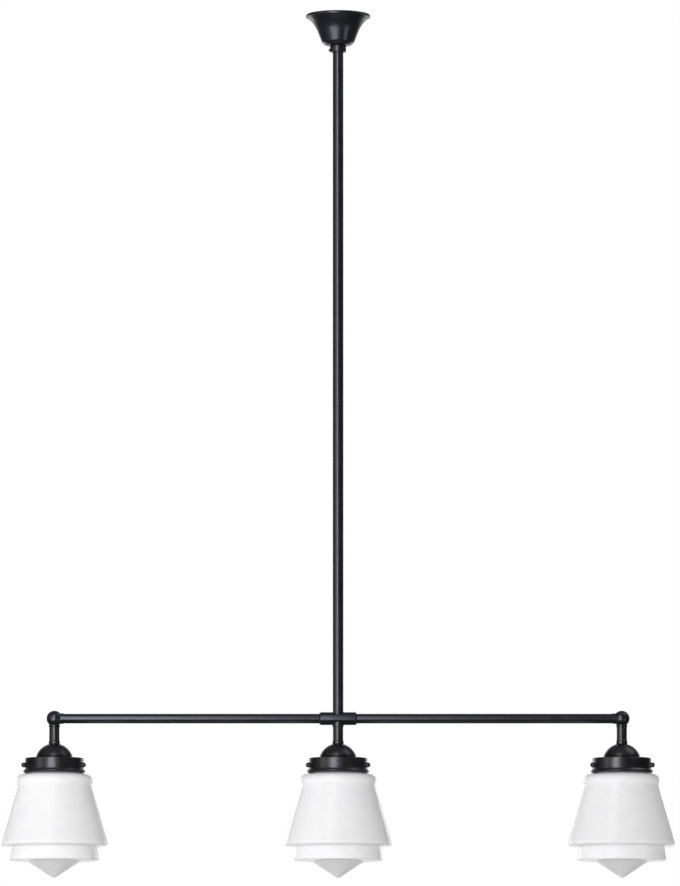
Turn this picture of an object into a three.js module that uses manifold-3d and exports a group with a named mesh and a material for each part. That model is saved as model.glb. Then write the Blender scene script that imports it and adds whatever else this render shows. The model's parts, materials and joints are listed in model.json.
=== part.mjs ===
// Linear island pendant: a long downrod carries a crossbar with three stepped opal glass shades.
// Millimetres, +Z up. The origin is the centre of the ceiling plate's top face, and +X runs along the crossbar.
import * as THREE from "three";
import { mergeVertices } from "three/addons/utils/BufferGeometryUtils.js";
import Module from "manifold-3d";

const wasm = await Module();
wasm.setup();

// Clearances and facets
const fitGap = 0.3;
const overrun = 1;
const facetLength = 3;
const glassFacet = 6;
const canopyFacet = 9;
const plainBend = 8;

// Ceiling plate and terminal block
const plateLength = 76;
const plateWidth = 18;
const plateThickness = 2;
const plateCornerRadius = 4;
const slotLength = 10;
const slotWidth = 4.6;
const slotSpacing = 56;
const terminalLength = 22;
const terminalWidth = 10;
const terminalHeight = 12;
const terminalOffset = 16;
const terminalScrewRadius = 1.6;
const terminalScrewPitch = 7;
const terminalScrewDepth = 3;
const terminalWireHoleRadius = 1.5;
const terminalWireHoleDrop = 5;

// Ceiling hook, bent from round wire
const hookFootRadius = 6;
const hookFootThickness = 1.6;
const hookWireRadius = 2;
const hookShankLength = 1.4;
const hookBowlRadius = 6.5;
const hookBowlDrop = 9.1;
const hookStartAngle = 130;
const hookEndAngle = 370;
const hookSteps = 15;

// Hanging link between hook and loop
const linkWireRadius = 1.75;
const linkInnerWidth = 7;
const linkStraight = 2.6;

// Threads of the lamp's nipples, and the wireway through them
const threadRadius = 5;
const wirewayRadius = 3.5;

// Loop nipple at the top of the rod
const loopRadius = 6;
const loopWireRadius = 2;
const loopNeckTopRadius = 2.5;
const loopNeckRadius = 6;
const loopNeckCone = 1.5;
const loopNeckHeight = 8;
const loopFlangeRadius = 7.2;
const loopFlangeThickness = 2;
const loopThreadLength = 13;
const loopBoreRadius = 3.2;
const loopSideHoleRadius = 3.2;

// Downrod, from the loop nipple to the cross coupler
const dropLength = 1068.3;
const rodRadius = 8;
const rodNippleLength = 22;

// Canopy
const canopyCeilingGap = 2.4;
const canopyRadius = 48.7;
const canopyLip = 4.4;
const canopyLipRound = 1.8;
const canopyLipDepth = 4.4;
const canopyFlareStep = 2.7;
const canopyWaistRadius = 34.4;
const canopyWaistDrop = 16.4;
const canopyWaistBend = 42;
const canopyBaseRadius = 22.6;
const canopyBaseBend = 10;
const canopyHeight = 47.2;
const canopyWall = 1.2;

// Set collar and its clamp screw
const collarRadius = 12.25;
const collarHeight = 9.8;
const collarRound = 0.9;
const clampShankRadius = 1.7;
const clampHeadRadius = 2.3;
const clampHeadReach = 1.9;
const clampHeadRound = 0.7;
const clampRise = 3.2;

// Cross coupler
const couplerRadius = 9.7;
const couplerLength = 56;
const couplerChamfer = 1.8;
const couplerSocketDepth = 20;

// Crossbar and end balls
const lampSpacing = 425;
const barRadius = 7.25;
const ballRadius = 11.9;
const ballNeckRadius = 7.9;
const ballNeckReach = 14.2;
const ballSteps = 7;
const ballNippleStart = 5.5;
const ballNippleLength = 17;

// Stem under the bar
const seatDrop = 9.2;
const stemRadius = 7.75;
const stemBeadRadius = 8.5;
const stemTopBead = 2.6;
const stemBottomBead = 4.2;
const stemBeadSlope = 0.9;
const stemLength = 28.6;
const stemSaddleRise = 4.2;

// Dome cap over the lampholder
const domeRadius = 29;
const domeBaseRadius = 27.7;
const domeWall = 1.4;
const domeSteps = 3;

// Gallery that holds the glass
const gallerySeatRadius = 27;
const gallerySeatHeight = 1.5;
const galleryRadius = 44;
const galleryEdgeRound = 1.4;
const galleryWall = 1.4;
const galleryHeight = 22.6;
const galleryBeadRadius = 47.5;
const galleryBeadHeight = 6.2;
const galleryBeadUnderside = 2.4;
const galleryBeadRound = 1.6;
const galleryMouthRadius = 43.6;

// Thumb screws of the gallery
const screwDrop = 11.6;
const screwShankRadius = 2;
const screwNeckRadius = 2.8;
const screwNeckLength = 1.8;
const screwHeadRadius = 3.7;
const screwHeadLength = 8;
const screwHeadRound = 3.1;
const screwHeadStandoff = 1.2;
const screwAngles = [-30, -150, 90];

// Glass shade
const shadeWall = 3.2;
const shadeLipRadius = 40.3;
const shadeLipHeight = 3.7;
const shadeNeckRadius = 37.8;
const shadeShoulderGap = 1.5;
const shadeShoulderRadius = 57.6;
const shadeShoulderBend = 10;
const shadeBeadDrop = 12.5;
const shadeBeadBend = 3;
const shadeGrooveRadius = 55.6;
const shadeGrooveDrop = 16.8;
const shadeGrooveBend = 4;
const shadeConeRadius = 82.3;
const shadeConeDrop = 107.6;
const shadeConeBend = 5;
const shadeStepRise = 0.5;
const shadeDrumTopRadius = 64.7;
const shadeDrumRadius = 67.9;
const shadeDrumHeight = 21.4;
const shadeDrumBend = 3;
const shadeUndersideFall = 0.5;
const shadePointRadius = 40.3;
const shadePointHeight = 26.2;
const shadeTipBend = 7;

// Nipple and lock nut through the stem
const nippleRise = 2.5;
const nippleGrip = 7;
const nutAcrossFlats = 14;
const nutThickness = 3;

// E27 lampholder
const holderRadius = 20;
const holderWall = 2;
const holderBossRadius = 8;
const holderBossHeight = 7;
const holderShoulderHeight = 13;
const holderCapHeight = 22;
const holderSpigotHeight = 5;
const holderBodyHeight = 24;
const holderFloor = 2.5;
const holderWireHoleRadius = 3;
const shellRadius = 14.4;
const shellWall = 0.7;
const shellHoleRadius = 5;
const shellHeight = 19;

// E27 lamp
const lampCapRadius = 13.3;
const lampCapLength = 24;
const lampCapTaper = 3;
const lampContactRadius = 3.8;
const lampContactHeight = 1.4;
const lampInsulatorRadius = 10;
const lampInsulatorHeight = 3;
const lampThreadStart = 4.5;
const lampNeckRadius = 12.4;
const lampNeckLength = 8;
const lampNeckBend = 15;
const lampRadius = 30;
const lampShoulderDrop = 40;
const lampShoulderBend = 20;
const lampLength = 83.2;
const lampWall = 1.2;
const lampFacet = 16;

// Sides of the round pieces
const cupSides = 20;
const tubeSides = 16;
const smallSides = 12;
const lampSides = 10;
const screwSides = 8;
const wireSides = 8;

// Finishes
const blackCoat = new THREE.MeshStandardMaterial({ color: 0x17191f, roughness: 0.45, metalness: 0.3 });
const zincSteel = new THREE.MeshStandardMaterial({ color: 0x9b9c98, roughness: 0.4, metalness: 0.9 });
const brass = new THREE.MeshStandardMaterial({ color: 0xb59a5a, roughness: 0.35, metalness: 0.9 });
const opalGlass = new THREE.MeshStandardMaterial({ color: 0xf0f0ee, roughness: 0.12, metalness: 0 });
const blackPlastic = new THREE.MeshStandardMaterial({ color: 0x1d1d1d, roughness: 0.5, metalness: 0 });
const creamPlastic = new THREE.MeshStandardMaterial({ color: 0xe4e0d2, roughness: 0.5, metalness: 0 });
const lampGlass = new THREE.MeshStandardMaterial({ color: 0xf6f4ee, roughness: 0.3, metalness: 0 });
const aluminium = new THREE.MeshStandardMaterial({ color: 0xb8b9bc, roughness: 0.35, metalness: 0.9 });

const degrees = THREE.MathUtils.degToRad;

// Outlines: a corner is [radius, height, bend], and a bend rounds the corner with an arc.

// The arc that rounds the corner at b between a and c, as points.
function bentCorner(a, b, c, bend, facet) {
  const toA = a.clone().sub(b);
  const toC = c.clone().sub(b);
  const half = toA.angleTo(toC) / 2;
  const reach = Math.min(bend / Math.tan(half), toA.length(), toC.length());
  const radius = reach * Math.tan(half);
  const turn = Math.PI - 2 * half;
  const steps = Math.max(1, Math.round((turn * radius) / facet));
  toA.normalize();
  toC.normalize();
  const middle = toA.clone().add(toC).normalize();
  const centre = b.clone().addScaledVector(middle, radius / Math.sin(half));
  const start = b.clone().addScaledVector(toA, reach).sub(centre);
  const sweep = Math.sign(toC.cross(toA)) * turn;
  const points = [];
  for (let i = 0; i <= steps; i++) {
    points.push(start.clone().rotateAround(new THREE.Vector2(), (sweep * i) / steps).add(centre));
  }
  return points;
}

// The arc from a slanting side to the axis, as on a full turn.
function bentTip(side, tip, bend, facet) {
  const mirrored = new THREE.Vector2(-side.x, side.y);
  const arc = bentCorner(side, tip, mirrored, bend, facet / 2);
  const half = arc.slice(0, Math.floor(arc.length / 2));
  const slant = side.clone().sub(tip);
  const rise = (bend * slant.length()) / slant.x - bend;
  return [...half, new THREE.Vector2(0, tip.y + Math.sign(slant.y) * rise)];
}

// The outline's points. An end on the axis is rounded as a tip.
function roundedOutline(corners, facet) {
  const at = corners.map(([radius, height]) => new THREE.Vector2(radius, height));
  const last = corners.length - 1;
  return corners.flatMap(([radius, , bend], i) => {
    if (!bend) {
      return [at[i]];
    }
    if (radius === 0) {
      return i === 0 ? bentTip(at[1], at[0], bend, facet).reverse() : bentTip(at[i - 1], at[i], bend, facet);
    }
    return bentCorner(at[i === 0 ? last : i - 1], at[i], at[i === last ? 0 : i + 1], bend, facet);
  });
}

// A solid turned about the vertical axis. The outline runs from axis to axis, or closes on itself.
function turned(corners, sides, facet = facetLength) {
  const points = roundedOutline(corners, facet);
  const first = points[0];
  const last = points[points.length - 1];
  if (first.x > 0 || last.x > 0) {
    points.push(first.clone());
  }
  const area = points.reduce((sum, point, i) => {
    const next = points[(i + 1) % points.length];
    return sum + point.x * next.y - next.x * point.y;
  }, 0);
  if (area < 0) {
    points.reverse();
  }
  return new THREE.LatheGeometry(points, sides).rotateX(Math.PI / 2);
}

// The corners of a wall's inner face, for an outer outline that runs from the top down.
// Small bends are left sharp there.
function wallInside(corners, wall) {
  const at = corners.map(([radius, height]) => new THREE.Vector2(radius, height));
  const along = at.slice(1).map((point, i) => point.clone().sub(at[i]).normalize());
  const inward = along.map((way) => new THREE.Vector2(way.y, -way.x));
  return corners.map(([radius, , bend = 0], i) => {
    const before = inward[Math.max(i - 1, 0)];
    const after = inward[Math.min(i, inward.length - 1)];
    const mitre = before.clone().add(after).divideScalar(1 + before.dot(after));
    const point = at[i].clone().addScaledVector(mitre, wall);
    if (radius === 0) {
      const way = along[Math.min(i, along.length - 1)];
      point.addScaledVector(way, -point.x / way.x);
      point.x = 0;
    }
    const convex = before.cross(after) < 0 || radius === 0;
    const innerBend = bend + (convex ? -wall : wall);
    return [point.x, point.y, bend && innerBend > plainBend ? innerBend : 0];
  });
}

// A turned cup of even wall, from its outer outline.
function turnedShell(corners, wall, sides, facet) {
  return turned([...wallInside(corners, wall).reverse(), ...corners], sides, facet);
}

// A straight round bar or cutter between two places on one axis.
function barAlong(axis, radius, start, end, sides = smallSides) {
  const bar = new THREE.CylinderGeometry(radius, radius, Math.abs(end - start), sides);
  if (axis === "x") {
    bar.rotateZ(Math.PI / 2);
  }
  if (axis === "z") {
    bar.rotateX(Math.PI / 2);
  }
  const middle = (start + end) / 2;
  return bar.translate(axis === "x" ? middle : 0, axis === "y" ? middle : 0, axis === "z" ? middle : 0);
}

// A plain tube between two heights.
function tube(outer, inner, top, bottom, sides) {
  return turned([[outer, top], [outer, bottom], [inner, bottom], [inner, top]], sides);
}

// Solid joins and cuts
function solidOf(geometry) {
  const bare = geometry.clone();
  bare.deleteAttribute("normal");
  bare.deleteAttribute("uv");
  const merged = mergeVertices(bare, 1e-4);
  return new wasm.Manifold(new wasm.Mesh({
    numProp: 3,
    vertProperties: merged.attributes.position.array,
    triVerts: new Uint32Array(merged.index.array),
  }));
}

function geometryOf(solid) {
  const mesh = solid.getMesh();
  const geometry = new THREE.BufferGeometry();
  geometry.setAttribute("position", new THREE.BufferAttribute(mesh.vertProperties, 3));
  geometry.setIndex(new THREE.BufferAttribute(mesh.triVerts, 1));
  const flat = geometry.toNonIndexed();
  flat.computeVertexNormals();
  return flat;
}

function cut(geometry, ...tools) {
  return geometryOf(tools.reduce((solid, tool) => solid.subtract(solidOf(tool)), solidOf(geometry)));
}

function joined(geometry, ...others) {
  return geometryOf(others.reduce((solid, other) => solid.add(solidOf(other)), solidOf(geometry)));
}

function named(name, geometry, material) {
  const mesh = new THREE.Mesh(geometry, material);
  mesh.name = name;
  return mesh;
}

// Heights under the ceiling
const hookFootTop = -plateThickness - fitGap;
const hookFootBottom = hookFootTop - hookFootThickness;
const hookBowlHeight = hookFootBottom - hookBowlDrop;
const linkBendRadius = linkInnerWidth / 2 + linkWireRadius;
const linkTop = hookBowlHeight - hookBowlRadius + hookWireRadius + fitGap + linkWireRadius;
const linkBottom = linkTop - 2 * linkBendRadius - linkStraight;
const loopTop = linkBottom + linkWireRadius + fitGap + loopWireRadius;
const loopHeight = loopTop - loopRadius;
const loopNeckTop = loopHeight - loopRadius;
const loopFlangeTop = loopNeckTop - loopNeckCone - loopNeckHeight;
const loopFlangeBottom = loopFlangeTop - loopFlangeThickness;
const rodTop = loopFlangeBottom - fitGap;
const canopyTop = -canopyCeilingGap;
const canopyBottom = canopyTop - canopyHeight;
const collarTop = canopyBottom - fitGap;
const collarBottom = collarTop - collarHeight;
const boreRadius = threadRadius + fitGap;

// Heights under the crossbar's axis
const stemTop = -seatDrop - fitGap;
const stemBottom = stemTop - stemLength;
const domeTop = stemBottom - fitGap;
const domeFlatRadius = stemBeadRadius + fitGap;
const domeCentre = domeTop - Math.sqrt(domeRadius ** 2 - domeFlatRadius ** 2);
const domeBase = domeCentre + Math.sqrt(domeRadius ** 2 - domeBaseRadius ** 2);
const gallerySeat = domeBase - fitGap;
const galleryTop = gallerySeat - gallerySeatHeight;
const galleryBottom = galleryTop - galleryHeight;
const screwHeight = galleryTop - screwDrop;
const nutTop = gallerySeat - galleryWall - fitGap;
const nutBottom = nutTop - nutThickness;
const holderTop = nutBottom - fitGap;
const nippleBottom = holderTop - nippleGrip;
const holderCapBottom = holderTop - holderCapHeight;
const holderBodyTop = holderCapBottom - fitGap;
const holderBodyBottom = holderBodyTop - holderBodyHeight;
const holderFloorBottom = holderBodyTop + holderSpigotHeight - holderFloor;
const shellTop = holderFloorBottom - fitGap;
const lampTop = holderFloorBottom - fitGap;
const lampGlassTop = lampTop - lampCapLength - fitGap;
const shadeLipBottom = screwHeight + screwShankRadius + fitGap;
const shadeLipTop = shadeLipBottom + shadeLipHeight;
const shadeShoulder = galleryBottom - shadeShoulderGap;

// Ceiling pieces

function ceilingPlate() {
  const outline = roundedRectangle(plateLength, plateWidth, plateCornerRadius);
  for (const side of [-1, 1]) {
    outline.holes.push(slotHole((side * slotSpacing) / 2));
  }
  const plate = new THREE.ExtrudeGeometry(outline, {
    depth: plateThickness,
    bevelEnabled: false,
    curveSegments: 2,
  });
  return plate.translate(0, 0, -plateThickness);
}

function roundedRectangle(length, width, corner) {
  const x = length / 2 - corner;
  const y = width / 2 - corner;
  const outline = new THREE.Shape();
  outline.absarc(x, y, corner, 0, Math.PI / 2);
  outline.absarc(-x, y, corner, Math.PI / 2, Math.PI);
  outline.absarc(-x, -y, corner, Math.PI, Math.PI * 1.5);
  outline.absarc(x, -y, corner, Math.PI * 1.5, Math.PI * 2);
  outline.closePath();
  return outline;
}

function slotHole(centre) {
  const reach = (slotLength - slotWidth) / 2;
  const hole = new THREE.Path();
  hole.absarc(centre + reach, 0, slotWidth / 2, -Math.PI / 2, Math.PI / 2);
  hole.absarc(centre - reach, 0, slotWidth / 2, Math.PI / 2, Math.PI * 1.5);
  hole.closePath();
  return hole;
}

// Three-pole block: a screw hole over each pole, and a wire hole through each.
function terminalBlock() {
  const top = -plateThickness - fitGap;
  const bottom = top - terminalHeight;
  const block = new THREE.BoxGeometry(terminalWidth, terminalLength, terminalHeight);
  block.translate(0, 0, (top + bottom) / 2);
  const tools = [];
  for (const pole of [-1, 0, 1]) {
    const screw = barAlong("z", terminalScrewRadius, bottom - overrun, bottom + terminalScrewDepth, wireSides);
    const halfWidth = terminalWidth / 2 + overrun;
    const wire = barAlong("x", terminalWireHoleRadius, -halfWidth, halfWidth, wireSides);
    tools.push(screw.translate(0, pole * terminalScrewPitch, 0));
    tools.push(wire.translate(0, pole * terminalScrewPitch, bottom + terminalWireHoleDrop));
  }
  return cut(block, ...tools).translate(terminalOffset, 0, 0);
}

// Question-mark hook: the wire leaves its foot, bends aside and runs round the bowl, open at one side.
function ceilingHook() {
  const path = [
    new THREE.Vector3(0, 0, hookFootBottom + hookFootThickness / 2),
    new THREE.Vector3(0, 0, hookFootBottom - hookShankLength),
  ];
  for (let i = 0; i <= hookSteps; i++) {
    const angle = degrees(hookStartAngle + ((hookEndAngle - hookStartAngle) * i) / hookSteps);
    path.push(new THREE.Vector3(
      hookBowlRadius * Math.cos(angle),
      0,
      hookBowlHeight + hookBowlRadius * Math.sin(angle),
    ));
  }
  const wire = new THREE.ExtrudeGeometry(circleShape(hookWireRadius, wireSides), {
    steps: hookSteps,
    curveSegments: wireSides,
    extrudePath: new THREE.CatmullRomCurve3(path),
  });
  const foot = turned([
    [0, hookFootTop],
    [hookFootRadius, hookFootTop],
    [hookFootRadius, hookFootBottom],
    [0, hookFootBottom],
  ], smallSides);
  return joined(foot, wire);
}

function circleShape(radius, sides) {
  const points = [];
  for (let i = 0; i < sides; i++) {
    const angle = degrees((360 * i) / sides);
    points.push(new THREE.Vector2(radius * Math.cos(angle), radius * Math.sin(angle)));
  }
  return new THREE.Shape(points);
}

// Long link: a wire ring whose upper and lower halves are drawn apart.
function hangingLink() {
  const steps = 14;
  const ring = new THREE.TorusGeometry(linkBendRadius, linkWireRadius, wireSides, steps);
  ring.rotateZ(Math.PI / steps);
  const position = ring.attributes.position;
  for (let i = 0; i < position.count; i++) {
    position.setY(i, position.getY(i) + (Math.sign(position.getY(i)) * linkStraight) / 2);
  }
  return ring.rotateX(Math.PI / 2).rotateZ(Math.PI / 2).translate(0, 0, (linkTop + linkBottom) / 2);
}

// Eye on a drilled neck: the wires leave the rod through the bore and the side hole.
function loopNipple() {
  const eye = new THREE.TorusGeometry(loopRadius, loopWireRadius, wireSides, smallSides);
  eye.rotateX(Math.PI / 2).translate(0, 0, loopHeight);
  const neckBottom = loopNeckTop - loopNeckCone;
  const threadBottom = loopFlangeBottom - loopThreadLength;
  const sideHole = loopFlangeTop + loopNeckHeight / 2;
  const neck = turned([
    [0, loopNeckTop],
    [loopNeckTopRadius, loopNeckTop],
    [loopNeckRadius, neckBottom],
    [loopNeckRadius, loopFlangeTop],
    [loopFlangeRadius, loopFlangeTop],
    [loopFlangeRadius, loopFlangeBottom],
    [threadRadius, loopFlangeBottom],
    [threadRadius, threadBottom],
    [0, threadBottom],
  ], smallSides);
  return cut(
    joined(neck, eye),
    barAlong("z", loopBoreRadius, threadBottom - overrun, sideHole, wireSides),
    barAlong("y", loopSideHoleRadius, -loopNeckRadius - overrun, loopNeckRadius + overrun, wireSides)
      .translate(0, 0, sideHole),
  );
}

// Rod whose lower end is cut to sit on the round coupler.
function downrod() {
  const saddle = barAlong("x", couplerRadius + fitGap, -rodRadius - overrun, rodRadius + overrun, tubeSides);
  const rod = tube(rodRadius, boreRadius, rodTop, -dropLength, tubeSides);
  return cut(rod, saddle.translate(0, 0, -dropLength));
}

// Canopy: rolled lip, flare, straight cup and a flat bottom with the rod's hole.
function canopy() {
  const lipBottom = canopyTop - canopyLip;
  const flare = [
    [canopyRadius - canopyFlareStep, lipBottom],
    [canopyWaistRadius, canopyTop - canopyWaistDrop, canopyWaistBend],
    [canopyBaseRadius, canopyBottom, canopyBaseBend],
    [rodRadius + fitGap, canopyBottom],
  ];
  const inside = wallInside(flare, canopyWall).slice(1);
  return turned([
    [canopyRadius - canopyLipDepth, canopyTop],
    [canopyRadius, canopyTop, canopyLipRound],
    [canopyRadius, lipBottom, canopyLipRound],
    ...flare,
    ...inside.reverse(),
    [canopyRadius - canopyLipDepth, lipBottom],
  ], cupSides, canopyFacet);
}

function setCollar() {
  const ring = turned([
    [collarRadius, collarTop, collarRound],
    [collarRadius, collarBottom, collarRound],
    [rodRadius + fitGap, collarBottom],
    [rodRadius + fitGap, collarTop],
  ], tubeSides);
  const hole = barAlong("x", clampShankRadius + fitGap, -collarRadius - overrun, -rodRadius, screwSides);
  return cut(ring, hole.translate(0, 0, collarBottom + clampRise));
}

// Clamp screw along the X axis, with its head to the left.
function clampScrew() {
  const headFace = collarRadius + fitGap;
  const headEnd = collarRadius + clampHeadReach;
  const screw = turned([
    [0, rodRadius + fitGap],
    [clampShankRadius, rodRadius + fitGap],
    [clampShankRadius, headFace],
    [clampHeadRadius, headFace],
    [clampHeadRadius, headEnd, clampHeadRound],
    [0, headEnd],
  ], screwSides);
  return screw.rotateY(-Math.PI / 2).translate(0, 0, collarBottom + clampRise);
}

// Crossbar pieces, in heights from the bar's axis

// Cross coupler: a socket for each bar, a drilled way up to the rod and down to the stem.
function crossCoupler() {
  const end = couplerLength / 2;
  const socketEnd = end - couplerSocketDepth;
  const socketRadius = barRadius + fitGap;
  const sleeve = turned([
    [couplerRadius - couplerChamfer, end],
    [couplerRadius, end - couplerChamfer],
    [couplerRadius, couplerChamfer - end],
    [couplerRadius - couplerChamfer, -end],
    [socketRadius, -end],
    [socketRadius, -socketEnd],
    [wirewayRadius, -socketEnd],
    [wirewayRadius, socketEnd],
    [socketRadius, socketEnd],
    [socketRadius, end],
  ], tubeSides);
  const bore = barAlong("z", boreRadius, -couplerRadius - overrun, couplerRadius + overrun);
  return cut(sleeve.rotateY(Math.PI / 2), bore);
}

function crossbar(side) {
  const inner = couplerLength / 2 - couplerSocketDepth + fitGap;
  const outer = lampSpacing - ballNeckReach - fitGap;
  return tube(barRadius, boreRadius, outer, inner, tubeSides).rotateY((side * Math.PI) / 2);
}

// End ball: necked towards the bar, flat below for the stem, and drilled at a right angle.
function endBall(side) {
  const join = Math.asin(ballNeckRadius / ballRadius);
  const ball = new THREE.Vector2(0, ballRadius);
  const outline = [
    [0, ballNeckReach],
    [ballNeckRadius, ballNeckReach],
  ];
  for (let i = 0; i <= ballSteps; i++) {
    const point = ball.clone().rotateAround(new THREE.Vector2(), -join - ((Math.PI - join) * i) / ballSteps);
    outline.push([i < ballSteps ? point.x : 0, point.y]);
  }
  return cut(
    turned(outline, tubeSides).rotateY((-side * Math.PI) / 2),
    barAlong("x", boreRadius, threadRadius * side, -(ballNeckReach + overrun) * side),
    barAlong("z", boreRadius, 0, -ballRadius - overrun),
    barAlong("z", ballRadius, -seatDrop, -ballRadius - overrun),
  );
}

// Stem with a bead at each end, up to a given height.
function stemTo(top) {
  const topBead = stemTop - stemTopBead;
  const bottomBead = stemBottom + stemBottomBead;
  return turned([
    [stemBeadRadius, top],
    [stemBeadRadius, topBead],
    [stemRadius, topBead - stemBeadSlope],
    [stemRadius, bottomBead + stemBeadSlope],
    [stemBeadRadius, bottomBead],
    [stemBeadRadius, stemBottom],
    [boreRadius, stemBottom],
    [boreRadius, top],
  ], smallSides);
}

// The middle stem's top is cut to a saddle that fits the round coupler.
function saddledStem() {
  const reach = stemBeadRadius + overrun;
  return cut(stemTo(stemTop + stemSaddleRise), barAlong("x", couplerRadius + fitGap, -reach, reach, tubeSides));
}

// Arc of the dome's section between two radii, as corners.
function domeArc(radius, fromRadius, toRadius) {
  const from = Math.asin(fromRadius / radius);
  const to = Math.asin(toRadius / radius);
  const corners = [];
  for (let i = 0; i <= domeSteps; i++) {
    const angle = from + ((to - from) * i) / domeSteps;
    corners.push([radius * Math.sin(angle), domeCentre + radius * Math.cos(angle)]);
  }
  return corners;
}

function domeCap() {
  const inner = domeRadius - domeWall;
  return turned([
    [boreRadius, domeTop],
    ...domeArc(domeRadius, domeFlatRadius, domeBaseRadius),
    ...domeArc(inner, domeFlatRadius, domeBaseRadius - domeWall).reverse(),
    [boreRadius, domeTop - domeWall],
  ], tubeSides);
}

// Gallery: raised seat for the dome, flat top, straight wall and a flared bead round its mouth.
function gallery() {
  const beadTop = galleryBottom + galleryBeadHeight;
  const cup = turned([
    [boreRadius, gallerySeat],
    [gallerySeatRadius, gallerySeat],
    [gallerySeatRadius, galleryTop],
    [galleryRadius, galleryTop, galleryEdgeRound],
    [galleryRadius, beadTop],
    [galleryBeadRadius, galleryBottom + galleryBeadUnderside, galleryBeadRound],
    [galleryMouthRadius, galleryBottom],
    [galleryRadius - galleryWall, beadTop],
    [galleryRadius - galleryWall, galleryTop - galleryWall],
    [gallerySeatRadius - galleryWall, galleryTop - galleryWall],
    [gallerySeatRadius - galleryWall, gallerySeat - galleryWall],
    [boreRadius, gallerySeat - galleryWall],
  ], tubeSides, galleryBeadRound);
  const holes = screwAngles.map((angle) => {
    const start = shadeNeckRadius;
    const hole = barAlong("x", screwShankRadius + fitGap, start, galleryRadius + overrun, screwSides);
    return hole.translate(0, 0, screwHeight).rotateZ(degrees(angle));
  });
  return cut(cup, ...holes);
}

// Thumb screw along its own axis, from the tip at the glass to the rounded head.
function thumbScrew() {
  const tip = shadeNeckRadius + fitGap;
  const neck = galleryRadius + screwHeadStandoff;
  const head = neck + screwNeckLength;
  return turned([
    [0, tip],
    [screwShankRadius, tip],
    [screwShankRadius, neck],
    [screwNeckRadius, neck],
    [screwNeckRadius, head],
    [screwHeadRadius, head],
    [screwHeadRadius, head + screwHeadLength, screwHeadRound],
    [0, head + screwHeadLength],
  ], screwSides, screwHeadLength).rotateY(Math.PI / 2);
}

// Glass shade: lipped neck, rolled shoulder and groove, cone, step, drum and pointed bottom.
function glassShade() {
  const coneBottom = shadeShoulder - shadeConeDrop;
  const drumTop = coneBottom - shadeStepRise;
  const drumBottom = drumTop - shadeDrumHeight;
  const pointTop = drumBottom - shadeUndersideFall;
  const body = [
    [shadeNeckRadius, shadeShoulder],
    [shadeShoulderRadius, shadeShoulder, shadeShoulderBend],
    [shadeShoulderRadius, shadeShoulder - shadeBeadDrop, shadeBeadBend],
    [shadeGrooveRadius, shadeShoulder - shadeGrooveDrop, shadeGrooveBend],
    [shadeConeRadius, coneBottom, shadeConeBend],
    [shadeDrumTopRadius, drumTop],
    [shadeDrumRadius, drumBottom, shadeDrumBend],
    [shadePointRadius, pointTop],
    [0, pointTop - shadePointHeight, shadeTipBend],
  ];
  const inside = wallInside([[shadeNeckRadius, shadeLipTop], ...body], shadeWall);
  const lip = [
    [shadeLipRadius, shadeLipTop],
    [shadeLipRadius, shadeLipBottom],
    [shadeNeckRadius, shadeLipBottom],
  ];
  return turned([...inside.reverse(), ...lip, ...body], cupSides, glassFacet);
}

// Lampholder pieces

function stemNipple() {
  return tube(threadRadius, wirewayRadius, -nippleRise, nippleBottom, smallSides);
}

function lockNut() {
  const corner = nutAcrossFlats / 2 / Math.cos(Math.PI / 6);
  const outline = circleShape(corner, 6);
  outline.holes.push(circleShape(boreRadius, smallSides));
  const nut = new THREE.ExtrudeGeometry(outline, { depth: nutThickness, bevelEnabled: false });
  return nut.translate(0, 0, nutBottom);
}

function holderCap() {
  return turnedShell([
    [boreRadius, holderTop],
    [holderBossRadius, holderTop],
    [holderBossRadius, holderTop - holderBossHeight],
    [holderRadius, holderTop - holderShoulderHeight],
    [holderRadius, holderCapBottom],
  ], holderWall, lampSides);
}

function holderBody() {
  const spigotRadius = holderRadius - holderWall - fitGap;
  const spigotTop = holderBodyTop + holderSpigotHeight;
  const socketRadius = shellRadius + fitGap;
  return turned([
    [holderWireHoleRadius, spigotTop],
    [spigotRadius, spigotTop],
    [spigotRadius, holderBodyTop],
    [holderRadius, holderBodyTop],
    [holderRadius, holderBodyBottom],
    [socketRadius, holderBodyBottom],
    [socketRadius, holderFloorBottom],
    [holderWireHoleRadius, holderFloorBottom],
  ], lampSides);
}

function screwShell() {
  const bottom = shellTop - shellHeight;
  return turned([
    [shellHoleRadius, shellTop],
    [shellRadius, shellTop],
    [shellRadius, bottom],
    [shellRadius - shellWall, bottom],
    [shellRadius - shellWall, shellTop - shellWall],
    [shellHoleRadius, shellTop - shellWall],
  ], lampSides);
}

function lampCap() {
  const bottom = lampTop - lampCapLength;
  return turned([
    [0, lampTop],
    [lampContactRadius, lampTop],
    [lampContactRadius, lampTop - lampContactHeight],
    [lampInsulatorRadius, lampTop - lampInsulatorHeight],
    [lampCapRadius, lampTop - lampThreadStart],
    [lampCapRadius, bottom + lampCapTaper],
    [lampNeckRadius, bottom],
    [0, bottom],
  ], lampSides);
}

function lampBulb() {
  const bottom = lampGlassTop - lampLength;
  return turnedShell([
    [lampNeckRadius, lampGlassTop],
    [lampNeckRadius, lampGlassTop - lampNeckLength, lampNeckBend],
    [lampRadius, lampGlassTop - lampShoulderDrop, lampShoulderBend],
    [lampRadius, bottom, lampRadius - lampWall],
    [0, bottom],
  ], lampWall, lampSides, lampFacet);
}

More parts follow.
